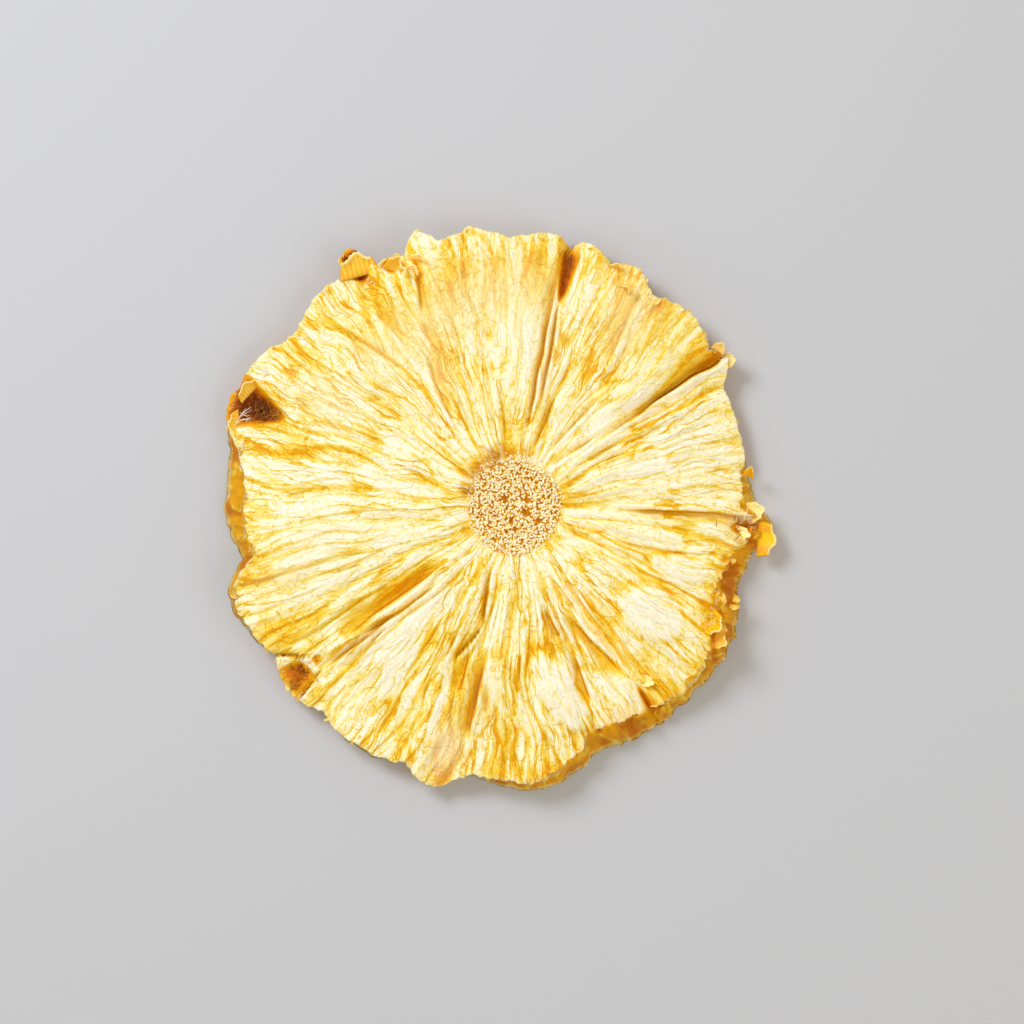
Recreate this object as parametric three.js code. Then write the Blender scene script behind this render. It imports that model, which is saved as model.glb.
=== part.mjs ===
// A dried pineapple ring: one whole cross slice of the peeled fruit, about 88 mm across, dried until the
// flesh has sunk between its fibres. The core is still in place, so there is no hole. The slice is one
// piece, and one solid.
//
// Millimetres, +Z up. It lies flat on its lower lip, with the origin under the middle of its outline.
// The shape is worked out round the core: r is the distance from the core's axis, deg the angle from +X.
import * as THREE from "three";

// ---- Driving sizes ----
const CORE_AXIS = { x: 2.32, y: 0.41 }; // the core stands a little off the middle of the outline
const CORE_RADIUS = 7.6;
const CORE_THICK = 3.4;
const FLESH_THICK = 1.7;
const RIM_THICK = 3.3; // the peeled side dries as a wall between an upper and a lower lip
const RIM_HOLLOW = 1.0; // how far that wall has drawn in between its lips
const THINNEST = 0.9;
const CORE_TOP = 4.9; // heights of the upper face above the table
const FLESH_TOP = 5.35;
const RIM_TOP = 4.2;

// The fruitlets round the rim: where the notch before each one lies (degrees), that notch's radius, where
// its crown lies, the crown's radius, and how far the upper lip sits inside the lower one.
const FRUITLETS = [
  [0, 38.9, 15, 37.6, 0.5],
  [30, 38.2, 35.5, 41.4, 0.4],
  [39, 39.3, 48, 41.5, 0.4],
  [57, 39.7, 63.5, 42.6, 0.4],
  [68, 41.5, 74.5, 43.2, 0.3],
  [77.5, 41.4, 82, 43.7, 0.3],
  [91, 42.3, 99, 44.5, 0.4],
  [106, 43.4, 110, 45.8, 0.3],
  [113.5, 43.4, 117, 44.0, 0.4],
  [120, 44.4, 123, 48.3, 0.3],
  [127, 44.9, 131, 45.8, 0.5],
  [141, 44.2, 161, 48.1, 0.5],
  [169, 45.6, 177, 46.1, 3.2],
  [191, 44.2, 198, 47.5, 1.2],
  [212, 44.8, 219, 45.9, 0.4],
  [227, 44.4, 240, 45.9, 0.9],
  [247, 44.1, 253, 45.9, 0.5],
  [261, 43.0, 274, 45.3, 1.5],
  [288, 41.4, 296, 41.6, 3.9],
  [304, 41.7, 316, 41.2, 1.5],
  [330, 40.6, 333, 39.6, 4.4],
  [341, 37.7, 346, 38.0, 3.0],
  [349, 38.4, 354.5, 41.5, 3.2],
];

// Deep folds where the flesh has sunk beside a bundle of fibres: from and to (radius and degrees), the
// half-widths there, how deep the fold is, and true where it runs out through the rim.
const FOLDS = [
  { from: [11, 38.5], to: [41.4, 35.5], wide: [0.7, 1.0], deep: 2.5, open: true },
  { from: [15, 75.5], to: [33, 77.2], wide: [0.7, 0.7], deep: 1.2, open: false },
  { from: [11, 80.2], to: [37, 79.3], wide: [0.7, 0.7], deep: 1.4, open: false },
  { from: [8.7, 71], to: [18, 69], wide: [0.7, 0.7], deep: 0.9, open: false },
  { from: [26, 57], to: [38.5, 59.5], wide: [1.2, 1.5], deep: 1.4, open: false },
  { from: [9.5, 57.5], to: [21, 52], wide: [0.7, 0.7], deep: 0.8, open: false },
  { from: [9.5, 97], to: [19, 97.5], wide: [0.9, 1.0], deep: 0.7, open: false },
  { from: [14, 127], to: [27, 120], wide: [0.7, 0.7], deep: 0.8, open: false },
  { from: [30, 123.5], to: [37, 125.5], wide: [0.7, 0.7], deep: 0.8, open: false },
  { from: [33, 116], to: [42, 111.5], wide: [0.7, 0.7], deep: 0.9, open: false },
  { from: [13.5, 218.6], to: [33, 217.2], wide: [0.7, 1.9], deep: 2.1, open: false },
  { from: [16, 225.5], to: [32, 220.4], wide: [0.7, 0.7], deep: 1.0, open: false },
  { from: [24, 222], to: [38.6, 221], wide: [0.7, 0.7], deep: 1.2, open: false },
  { from: [12.6, 231], to: [25, 225.5], wide: [0.7, 0.7], deep: 0.8, open: false },
  { from: [9.5, 249], to: [19.3, 255.3], wide: [0.7, 0.7], deep: 1.3, open: false },
  { from: [19.3, 255.3], to: [25.5, 249.3], wide: [0.7, 0.7], deep: 1.6, open: false },
  { from: [23, 252.5], to: [30.5, 253.5], wide: [0.8, 1.1], deep: 1.3, open: false },
  { from: [24, 259.3], to: [37, 258.6], wide: [0.7, 0.9], deep: 2.0, open: false },
  { from: [16.5, 287], to: [22, 288], wide: [0.7, 0.7], deep: 1.3, open: false },
  { from: [24, 292], to: [33, 291.5], wide: [0.7, 0.9], deep: 1.4, open: false },
  { from: [18, 296], to: [31, 303], wide: [0.7, 1.1], deep: 1.8, open: false },
  { from: [33, 304.9], to: [41.3, 304.1], wide: [0.7, 0.7], deep: 2.2, open: true },
  { from: [37.5, 219.2], to: [44.4, 211.8], wide: [0.7, 0.7], deep: 1.6, open: true },
  { from: [19, 333], to: [33, 333.5], wide: [0.7, 0.7], deep: 0.8, open: false },
  { from: [15, 358.5], to: [38, 357.4], wide: [0.7, 0.8], deep: 1.3, open: false },
];
const STEEP_SIDE = 0.6; // how wide the two sides of a fold are, as shares of its half-width
const GENTLE_SIDE = 1.4;
const LIP_HEIGHT = 0.4; // a fold's steep side ends in a raised lip
const LIP_WIDTH = 0.6;

// Pillows of flesh that stayed full, with a clear foot: radius, degrees, the degrees they lean for each
// millimetre outward, half-length, half-width and height.
const PILLOWS = [
  [30.4, 283.6, 0.5, 6.8, 3.3, 1.5],
  [27.2, 322.3, 0, 5.6, 4.2, 1.2],
  [28.8, 339.8, 0.2, 6.5, 2.2, 0.9],
  [40.9, 217.7, 0, 1.2, 1.9, 1.2],
];

// Softer swells: radius, degrees, half-length, half-width and height.
const SWELLS = [
  [29, 44, 12, 2.4, 0.8],
  [24, 230, 9, 3.6, 0.9],
  [31.5, 231, 4, 3.6, 0.4],
  [24, 12, 9, 6, 0.5],
  [27, 138, 10, 6, 0.4],
  [30, 88, 11, 3.4, 0.6],
  [32, 188, 10, 5, 0.5],
  [29, 352.5, 7, 2, 0.5],
  [39, 110, 4.5, 1.6, 0.9],
];

// Where the flesh crumpled into crags: radius, degrees, half-length, half-width and how strongly, from 0
// to 1.
const CRAGS = [
  [37.2, 330, 3, 3, 1],
  [36.8, 337, 3.4, 3, 1],
  [36.4, 344, 3, 3, 1],
  [36.6, 350, 2.4, 2.4, 0.8],
];
const CRAG_HEIGHT = 1.6;
const CRAG_LENGTH = 2.2;
const CRAGS_ROUND = 72;

// Pits left at the rim by the peeled fruitlets' eyes: degrees, half-width at the rim, radius of the inner
// tip, depth, and the share of it that a raised outer edge closes again (0 leaves a notch in the lip).
const EYES = [
  [77.4, 1.4, 32.4, 2.3, 0],
  [123.4, 3.2, 42, 2.3, 1.1],
  [117.2, 1.6, 41.2, 1.4, 1],
  [159, 4.4, 38.2, 2.6, 0.85],
  [217.8, 2.6, 38, 1.4, 0.5],
  [254, 2.9, 36.4, 1.2, 0.2],
  [304.5, 0.8, 34, 1.5, 0],
  [354.5, 2.9, 33.4, 1.5, 0.6],
  [8.5, 0.9, 36.2, 1.2, 0.9],
  [329, 1.6, 37.4, 1.4, 0.9],
];

// Slow waves of the drying rim: lobes round the slice, height, and where a crest lies (degrees).
const RIM_WAVES = [
  [2, 0.3, 110],
  [3, 0.5, 75],
  [5, 0.75, 48],
  [8, 0.3, 12],
];

// Fine relief: the flesh dries into plump strips with sharp creases between them, and the lips fray.
const PLEATS_ROUND = 54;
const PLEAT_LENGTH = 18;
const PLEAT_HEIGHT = 0.9;
const FRAYS_ROUND = 120;
const FRAY_DEPTH = 0.35;

// Mesh: rings of points round the core. Their points line up from ring to ring, and double where the rings
// grow.
const CORE_RINGS = [0.3, 0.62, 0.88]; // as shares of the core's radius
const UPPER_RINGS = 15; // in the flesh, from the core to the lip
const LOWER_RINGS = 10;
const RIM_POINTS = 216;
const HALVED_UNDER = [22, 11]; // rings smaller than these have a half and a quarter of the points

// ---- Small maths ----
const RADIANS = Math.PI / 180;

function clamp01(x) {
  return Math.min(1, Math.max(0, x));
}

function ease(x) {
  const s = clamp01(x);
  return s * s * (3 - 2 * s);
}

function mix(a, b, share) {
  return a + (b - a) * share;
}

function bell(x) {
  return Math.exp(-x * x);
}

// The signed turn from one angle to another, from -180 to 180 degrees.
function turn(fromDeg, toDeg) {
  return ((toDeg - fromDeg + 540) % 360) - 180;
}

// Smooth noise from -1 to 1 on a lattice that closes on itself after `period` cells round the slice.
function noise(u, v, period, seed) {
  const i = Math.floor(u);
  const j = Math.floor(v);
  const corner = (a, b) => {
    const cell = ((a % period) + period) % period;
    const s = Math.sin(cell * 127.1 + b * 311.7 + seed * 74.7) * 43758.5453;
    return (s - Math.floor(s)) * 2 - 1;
  };
  const su = ease(u - i);
  const low = mix(corner(i, j), corner(i + 1, j), su);
  const high = mix(corner(i, j + 1), corner(i + 1, j + 1), su);
  return mix(low, high, ease(v - j));
}

// ---- Outline ----
// The fruitlet whose stretch of the rim holds an angle, and the one after it.
function fruitletsAt(deg) {
  const index = FRUITLETS.findLastIndex(([notch]) => notch <= deg);
  return [FRUITLETS[index], FRUITLETS[(index + 1) % FRUITLETS.length]];
}

function wrapped(deg) {
  return ((deg % 360) + 360) % 360;
}

function outlineAt(deg) {
  const at = wrapped(deg);
  const [[notch, notchR, crown, crownR], [next, nextR]] = fruitletsAt(at);
  const nextNotch = next > notch ? next : next + 360;
  const rising = at < crown;
  const share = rising ? (at - notch) / (crown - notch) : (nextNotch - at) / (nextNotch - crown);
  const round = mix(rising ? notchR : nextR, crownR, Math.sin((share * Math.PI) / 2));
  const cells = (at / 360) * FRAYS_ROUND;
  return round + FRAY_DEPTH * noise(cells, 0, FRAYS_ROUND, 5);
}

// How far the upper lip sits inside the outline, blended from crown to crown.
function setBackAt(deg) {
  const at = wrapped(deg);
  const after = Math.max(0, FRUITLETS.findIndex(([, , crown]) => crown > at));
  const to = FRUITLETS[after];
  const from = FRUITLETS.at(after - 1);
  const whole = wrapped(to[2] - from[2]);
  return mix(from[4], to[4], ease(wrapped(at - from[2]) / whole));
}

function upperLipAt(deg) {
  const cells = (wrapped(deg) / 360) * FRAYS_ROUND;
  return outlineAt(deg) - setBackAt(deg) - FRAY_DEPTH * Math.abs(noise(cells, 0, FRAYS_ROUND, 9));
}

// ---- Relief ----
function foldDepth(r, deg) {
  let sum = 0;
  for (const { from, to, wide, deep, open } of FOLDS) {
    const along = (r - from[0]) / (to[0] - from[0]);
    if (along < -0.1 || along > 1.15) continue;
    const share = clamp01(along);
    const steepFirst = from[1] > 90 ? 1 : -1; // the steep side lies towards the lower right
    const off = turn(mix(from[1], to[1], share), deg) * RADIANS * r * steepFirst;
    const width = mix(wide[0], wide[1], share);
    const starts = ease((along + 0.08) / (open ? 0.95 : 0.4));
    const ends = open ? 1 : ease((1.12 - along) / 0.25);
    const valley = bell(off / (width * (off > 0 ? STEEP_SIDE : GENTLE_SIDE)));
    const lip = LIP_HEIGHT * bell((off - width - LIP_WIDTH) / LIP_WIDTH);
    sum += starts * ends * (deep * valley - lip);
  }
  return sum;
}

// The sum of soft oval spots, each of its own height.
function spots(r, deg, rows) {
  return rows.reduce((sum, [atR, atDeg, halfLength, halfWidth, height]) => {
    const across = (turn(atDeg, deg) * RADIANS * r) / halfWidth;
    return sum + height * bell((r - atR) / halfLength) * bell(across);
  }, 0);
}

function pillowHeight(r, deg) {
  const highest = PILLOWS.reduce((top, [atR, atDeg, lean, halfLength, halfWidth, height]) => {
    const across = (turn(atDeg + lean * (r - atR), deg) * RADIANS * r) / halfWidth;
    const inside = 1 - ((r - atR) / halfLength) ** 2 - across ** 2;
    return Math.max(top, height * clamp01(inside) ** 0.6);
  }, 0);
  return highest + spots(r, deg, SWELLS);
}

function eyeDepth(r, deg) {
  let sum = 0;
  for (const [atDeg, halfWidth, tip, deep, closed] of EYES) {
    const along = (r - tip) / (outlineAt(atDeg) - tip);
    if (along <= 0) continue;
    const across = (turn(atDeg, deg) * RADIANS * r) / (halfWidth * Math.min(1, along) + 0.3);
    const floor = ease(along * 2.2) - closed * ease((along - 0.62) / 0.3);
    sum += deep * floor * bell(across * Math.abs(across));
  }
  return sum;
}

function pleatHeight(r, deg) {
  const cells = (wrapped(deg) / 360) * PLEATS_ROUND;
  const bend = 0.9 * noise(cells / 6, r / 16, PLEATS_ROUND / 6, 3);
  const plump = Math.abs(noise(cells + bend, r / PLEAT_LENGTH, PLEATS_ROUND, 1)) ** 0.8;
  return PLEAT_HEIGHT * (plump - 0.4);
}

function cragHeight(r, deg) {
  const cells = (wrapped(deg) / 360) * CRAGS_ROUND;
  return CRAG_HEIGHT * (0.5 - Math.abs(noise(cells, r / CRAG_LENGTH, CRAGS_ROUND, 72)) ** 0.7);
}

// The strips, or the crags where the flesh has crumpled.
function fineRelief(r, deg) {
  return mix(pleatHeight(r, deg), cragHeight(r, deg), clamp01(spots(r, deg, CRAGS)));
}

function rimWave(deg) {
  return RIM_WAVES.reduce((sum, [lobes, height, crest]) => {
    return sum + height * Math.cos(lobes * (deg - crest) * RADIANS);
  }, 0);
}

// Share of the way from the core's edge to the outline.
function fleshShare(r, deg) {
  return clamp01((r - CORE_RADIUS) / (upperLipAt(deg) - CORE_RADIUS));
}

function smoothTop(r, deg) {
  const share = fleshShare(r, deg);
  const body = mix(CORE_TOP, FLESH_TOP, ease((r - CORE_RADIUS + 0.8) / 2.2));
  const droop = (RIM_TOP - FLESH_TOP) * share ** 3;
  return body + droop + rimWave(deg) * share ** 1.6;
}

function upperHeight(r, deg) {
  const inFlesh = ease((r - CORE_RADIUS) / 2.5);
  const relief = pillowHeight(r, deg) + fineRelief(r, deg) - foldDepth(r, deg);
  return Math.max(THINNEST, smoothTop(r, deg) + inFlesh * relief - eyeDepth(r, deg));
}

function thickness(r, deg) {
  const core = mix(CORE_THICK, FLESH_THICK, ease((r - CORE_RADIUS + 0.5) / 3));
  return mix(core, RIM_THICK, ease((fleshShare(r, deg) - 0.8) / 0.2));
}

// The under face follows the folds more gently, keeps the flesh from wearing through, and is pressed flat
// where it meets the table.
function lowerHeight(r, deg) {
  const inFlesh = ease((r - CORE_RADIUS) / 2.5);
  const relief = 0.7 * (pillowHeight(r, deg) + fineRelief(r, deg)) - 0.75 * foldDepth(r, deg);
  const free = smoothTop(r, deg) + inFlesh * relief - thickness(r, deg);
  return Math.max(0, Math.min(free, upperHeight(r, deg) - THINNEST));
}

// ---- Mesh ----
const positions = [];
const triangles = [];

// One ring of points round the core; radiusAt and heightAt give each point's place.
function addRing(count, radiusAt, heightAt) {
  const ring = [];
  for (let k = 0; k < count; k++) {
    const deg = (k * 360) / count;
    const r = radiusAt(deg);
    ring.push(positions.length / 3);
    positions.push(
      CORE_AXIS.x + r * Math.cos(deg * RADIANS),
      CORE_AXIS.y + r * Math.sin(deg * RADIANS),
      heightAt(r, deg),
    );
  }
  return ring;
}

// Joins two rings, which may hold different numbers of points, with one band of triangles. A ring of one
// point only ever gives its own point, so its side of the band makes no triangles.
function stitch(ring, next) {
  let i = 0;
  let j = 0;
  while (i < ring.length || j < next.length) {
    const a = ring[i % ring.length];
    const b = next[j % next.length];
    const stepNext = (j + 1) * ring.length <= (i + 1) * next.length && j < next.length;
    if (stepNext || i === ring.length) {
      j += 1;
      if (next.length > 1) triangles.push(a, b, next[j % next.length]);
    } else {
      i += 1;
      if (ring.length > 1) triangles.push(a, b, ring[i % ring.length]);
    }
  }
}

function pointsRound(radius) {
  return HALVED_UNDER.reduce((count, limit) => (radius < limit ? count / 2 : count), RIM_POINTS);
}

// One face of the slice, from the axis out to its lip, as rings of points.
function faceRings(lipAt, heightAt, fleshRings) {
  const rings = CORE_RINGS.map((share) => {
    const r = share * CORE_RADIUS;
    return addRing(pointsRound(r), () => r, heightAt);
  });
  for (let k = 0; k <= fleshRings; k++) {
    const radiusAt = (deg) => mix(CORE_RADIUS, lipAt(deg), k / fleshRings);
    rings.push(addRing(pointsRound(radiusAt(90)), radiusAt, heightAt));
  }
  return rings;
}

// A single point on the axis, as a ring of one, so that it is stitched like the others.
function addCentre(heightAt) {
  return addRing(1, () => 0, heightAt);
}

function buildSlice() {
  const upper = faceRings(upperLipAt, upperHeight, UPPER_RINGS);
  const lower = faceRings(outlineAt, lowerHeight, LOWER_RINGS);
  const upperCentre = addCentre(upperHeight);
  const lowerCentre = addCentre(lowerHeight);

  // The peeled wall, drawn in between the two lips where it is tall enough to have done so.
  const lipHeights = (deg) => [upperHeight(upperLipAt(deg), deg), lowerHeight(outlineAt(deg), deg)];
  const wall = [0.35, 0.7].map((down) => {
    const radiusAt = (deg) => {
      const [top, bottom] = lipHeights(deg);
      const hollow = RIM_HOLLOW * ease((top - bottom - THINNEST) / (RIM_THICK - THINNEST));
      return mix(upperLipAt(deg), outlineAt(deg), down) - hollow * Math.sin(down * Math.PI);
    };
    return addRing(RIM_POINTS, radiusAt, (r, deg) => mix(...lipHeights(deg), down));
  });

  const chain = [upperCentre, ...upper, ...wall, ...lower.toReversed(), lowerCentre];
  for (let k = 0; k + 1 < chain.length; k++) stitch(chain[k], chain[k + 1]);

  const geometry = new THREE.BufferGeometry();
  geometry.setAttribute("position", new THREE.Float32BufferAttribute(positions, 3));
  geometry.setIndex(triangles);
  geometry.computeVertexNormals();
  return geometry;
}

const flesh = new THREE.MeshStandardMaterial({ color: 0xf6df8e, roughness: 0.55, metalness: 0 });
const slice = new THREE.Mesh(buildSlice(), flesh);
slice.name = "pineapple_ring";

const group = new THREE.Group();
group.add(slice);
export default group;
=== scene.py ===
import bpy
import numpy as np
from mathutils import Euler, Matrix


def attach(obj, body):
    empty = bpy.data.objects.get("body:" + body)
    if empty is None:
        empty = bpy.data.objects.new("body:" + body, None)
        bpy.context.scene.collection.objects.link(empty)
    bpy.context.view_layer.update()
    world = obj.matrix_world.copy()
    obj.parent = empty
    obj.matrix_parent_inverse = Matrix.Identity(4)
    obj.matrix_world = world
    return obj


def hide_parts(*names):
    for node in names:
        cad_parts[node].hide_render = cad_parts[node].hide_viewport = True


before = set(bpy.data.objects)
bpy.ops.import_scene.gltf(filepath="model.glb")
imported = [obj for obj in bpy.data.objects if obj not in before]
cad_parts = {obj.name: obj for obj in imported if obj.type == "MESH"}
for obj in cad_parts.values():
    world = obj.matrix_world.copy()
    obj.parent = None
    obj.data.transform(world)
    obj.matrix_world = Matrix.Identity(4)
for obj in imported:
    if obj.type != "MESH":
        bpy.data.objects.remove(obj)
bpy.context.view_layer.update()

# ---- The slice ----
# One cross slice of peeled pineapple, dried until the flesh sank between its fibres and the peeled side drew
# in between two frayed lips. It is a flat grid rolled round the core, whose rows become rings from the middle
# of the upper face over the rim to the middle of the lower one. Sizes are in mm, degrees counterclockwise.
MM = 0.001
CORE_X, CORE_Y = 2.32, 0.41  # the core's place from the middle of the slice's box
CORE_RADIUS = 7.6
CORE_THICK = 3.4
FLESH_THICK = 1.7
RIM_THICK = 3.3
RIM_HOLLOW = 1.3
SHELF_BULGE = 0.5  # how far the peeled side swells where it reaches out beyond the upper lip
THINNEST = 0.8
CORE_TOP, FLESH_TOP, RIM_TOP = 4.9, 5.35, 4.2  # heights of the upper face above the table

# The fruitlets round the rim: the notch before each one (degrees, radius), its crown (degrees, radius), and
# how far the upper lip sits inside the lower one, plus 0.5.
FRUITLETS = np.array([
    (0, 38.9, 15, 37.6, 0.5),
    (30, 38.2, 35.5, 41.4, 0.4),
    (39, 39.3, 48, 41.5, 0.4),
    (57, 39.7, 63.5, 42.6, 0.4),
    (68, 41.5, 74.5, 43.2, 0.3),
    (77.5, 41.4, 82, 43.7, 0.3),
    (91, 42.3, 99, 44.5, 0.4),
    (106, 43.4, 110, 45.8, 0.3),
    (113.5, 43.4, 117, 44.0, 0.4),
    (120, 44.4, 123, 48.3, 0.3),
    (127, 44.9, 131, 45.8, 0.5),
    (141, 44.2, 161, 48.1, 0.5),
    (169, 45.6, 177, 46.1, 3.2),
    (191, 44.2, 198, 47.5, 1.2),
    (212, 44.8, 219, 45.9, 0.4),
    (227, 44.4, 240, 45.9, 0.9),
    (247, 44.1, 253, 45.9, 0.5),
    (261, 43.0, 274, 45.3, 1.5),
    (288, 41.4, 296, 41.6, 3.9),
    (304, 41.7, 316, 41.2, 1.5),
    (330, 40.6, 333, 39.6, 4.4),
    (341, 37.7, 346, 38.0, 3.0),
    (349, 38.4, 354.5, 41.5, 3.2),
])

# Folds where the flesh has sunk beside a bundle of fibres: radius and degrees where they begin and end, the
# half-widths there, the depth, and 1 where the fold runs out through the rim.
FOLDS = [
    (11, 38.5, 41.4, 35.5, 0.3, 1.0, 2.5, 1),
    (15, 75.5, 33, 77.2, 0.35, 0.4, 1.2, 0),
    (11, 80.2, 37, 79.3, 0.4, 0.6, 1.4, 0),
    (8.7, 71, 18, 69, 0.5, 0.5, 0.9, 0),
    (26, 57, 38.5, 59.5, 1.2, 1.5, 1.4, 0),
    (9.5, 57.5, 21, 52, 0.45, 0.5, 0.8, 0),
    (12.6, 32, 19.8, 31, 0.4, 0.4, 0.8, 0),
    (8, 19, 12.6, 24.5, 0.5, 0.4, 0.7, 0),
    (8, 48, 16.6, 40, 0.5, 0.4, 0.8, 0),
    (9.5, 97, 19, 97.5, 0.9, 1.0, 0.7, 0),
    (14, 127, 27, 120, 0.5, 0.5, 0.8, 0),
    (30, 123.5, 37, 125.5, 0.5, 0.5, 0.8, 0),
    (26, 115, 31.6, 117, 0.7, 0.7, 0.7, 0),
    (33, 116, 42, 111.5, 0.5, 0.6, 0.9, 0),
    (13.5, 218.6, 33, 217.2, 0.6, 1.9, 2.1, 0),
    (16, 225.5, 32, 220.4, 0.3, 0.4, 1.0, 0),
    (22, 211.0, 36.4, 212.6, 0.25, 0.3, 0.4, 0),
    (24, 222.0, 38.6, 221.0, 0.3, 0.6, 1.2, 0),
    (26, 223, 37.5, 224.5, 0.3, 0.9, 0.9, 0),
    (24.5, 200.5, 30, 200.5, 0.35, 0.35, 0.7, 0),
    (12.6, 231, 25, 225.5, 0.4, 0.5, 0.8, 0),
    (14, 240.5, 19, 242, 0.6, 0.6, 0.7, 0),
    (20.5, 246, 27, 245, 0.45, 0.45, 0.7, 0),
    (9.5, 249, 19.3, 255.3, 0.35, 0.5, 1.3, 0),
    (19.3, 255.3, 25.5, 249.3, 0.5, 0.6, 1.6, 0),
    (23, 252.5, 30.5, 253.5, 0.8, 1.1, 1.3, 0),
    (24, 259.3, 37, 258.6, 0.6, 0.9, 2.0, 0),
    (29, 262, 33, 262, 0.6, 0.6, 0.6, 0),
    (16.5, 287, 22, 288, 0.45, 0.6, 1.3, 0),
    (12, 290, 24, 292, 0.35, 0.45, 0.8, 0),
    (24, 292, 33, 291.5, 0.5, 0.9, 1.4, 0),
    (18, 296, 31, 303, 0.5, 1.1, 1.8, 0),
    (12, 298, 20, 300.5, 0.35, 0.4, 0.8, 0),
    (33, 304.9, 41.3, 304.1, 0.3, 0.5, 2.2, 1),
    (37.5, 219.2, 44.4, 211.8, 0.3, 0.5, 1.6, 1),
    (38.0, 219.6, 45.2, 221.4, 0.3, 0.4, 1.3, 1),
    (11, 305.5, 31.6, 305, 0.4, 0.4, 0.8, 0),
    (22, 309, 37, 308, 0.35, 0.35, 0.7, 0),
    (19, 333, 33, 333.5, 0.4, 0.5, 0.8, 0),
    (15, 341, 31.6, 346, 0.4, 0.4, 0.7, 0),
    (15, 358.5, 38, 357.4, 0.5, 0.8, 1.3, 0),
]

# Pillows of flesh that stayed full, with a clear foot: radius, degrees, the degrees they lean for each mm
# outward, half-length, half-width and height.
PILLOWS = [
    (30.4, 283.6, 0.5, 6.8, 3.3, 1.5),
    (27.2, 322.3, 0, 5.6, 4.2, 1.2),
    (28.8, 339.8, 0.2, 6.5, 2.2, 0.9),
    (40.9, 217.7, 0, 1.2, 1.9, 1.2),
]

# Softer swells: radius, degrees, half-length, half-width and height.
SWELLS = [
    (29, 44, 12, 2.4, 0.8),
    (24, 230, 9, 3.6, 0.9),
    (31.5, 231, 4, 3.6, 0.4),
    (24, 12, 9, 6, 0.5),
    (27, 138, 10, 6, 0.4),
    (30, 88, 11, 3.4, 0.6),
    (32, 188, 10, 5, 0.5),
    (29, 352.5, 7, 2, 0.5),
    (39, 110, 4.5, 1.6, 0.9),
]

# Spots that dried dull and beige: radius, degrees, half-length, half-width, strength.
DULL_SPOTS = [
    (39.8, 254, 3.6, 2.4, 0.9),
    (36.6, 354.8, 2.8, 2.4, 1.0),
    (34.0, 151, 6, 3, 0.45),
    (29.5, 188, 6, 2.4, 0.35),
    (36.5, 197, 5, 2.6, 0.4),
    (25, 120, 5, 2, 0.35),
    (33, 58, 4.5, 2.4, 0.4),
    (34, 93, 5, 9, 0.45),
    (32, 112, 4, 6, 0.3),
    (32, 130, 4, 6, 0.3),
    (38, 60, 4, 5, 0.3),
    (30, 262, 5, 1.6, 0.3),
    (22, 76, 5, 1.4, 0.3),
    (38.1, 297.9, 2.0, 3.0, 0.7),
]

# Spots that dried golden, given likewise: bands behind the rim, and the crags on the right. A strength below
# 0 makes the spot pale.
GOLDEN_SPOTS = [
    (38.5, 52, 5, 5, 0.9),
    (40.5, 68, 3, 5, 0.5),
    (32.5, 49, 5, 4, 0.5),
    (36, 92, 6, 9, 0.7),
    (36, 111, 7, 5, 0.95),
    (35, 129, 7, 7, 0.55),
    (42.5, 158, 3, 5, 0.8),
    (42, 194, 3, 9, 0.5),
    (21, 216.6, 8, 1.5, 0.8),
    (26.5, 251.4, 3.5, 1.3, 0.8),
    (33, 256.6, 5, 1.5, 0.9),
    (16, 253.6, 4, 0.8, 0.6),
    (42.4, 265, 1.2, 5, 0.9),
    (42.2, 279, 1.2, 5.5, 0.9),
    (40.5, 293, 2.5, 4, 0.8),
    (22, 291, 4, 2.4, 0.2),
    (40.2, 309, 3.0, 4, 0.7),
    (39.5, 322, 2.5, 4.5, 0.8),
    (36.5, 335, 3.4, 4.5, 1.0),
    (36.2, 347, 3.6, 5, 1.0),
    (39.5, 5, 2.6, 4.5, 0.9),
    (37, 20, 4, 3, 0.3),
    (10.5, 97, 3, 1.4, 0.7),
    (26, 29, 5, 5, -1.0),
    (19, 14, 6, 5, -0.3),
    (25, 170, 8, 5, -0.5),
    (33, 250, 3, 4, -0.25),
    (11.5, 330, 3, 2.5, -0.35),
    (11.5, 230, 3, 5, -0.3),
]

# Spots painted brown, given likewise: painted shade on the upper left of the core, where the flesh steps
# down to it, more spots along its edge, a line in the right eye, and the end of the long fold at the upper
# right.
BROWN_AND_SHADE_SPOTS = [
    (8.6, 108, 1.0, 2.6, 0.8),
    (8.4, 134, 0.8, 1.8, 0.7),
    (8.3, 160, 0.6, 0.8, 1.0),
    (8.8, 78, 1.0, 1.0, 0.5),
    (8.6, 205, 0.5, 1.0, 0.4),
    (37.4, 353.6, 1.6, 0.5, 0.5),
    (38.6, 37.0, 3.0, 0.9, 0.9),
]

# Where the flesh crumpled into crags, given likewise.
CRAGS = [
    (37.2, 330, 3.0, 3.0, 1.0),
    (36.8, 337, 3.4, 3.0, 1.0),
    (36.4, 344, 3.0, 3.0, 1.0),
    (36.6, 350, 2.4, 2.4, 0.8),
    (41.0, 300, 1.5, 3.0, 0.5),
]

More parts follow.
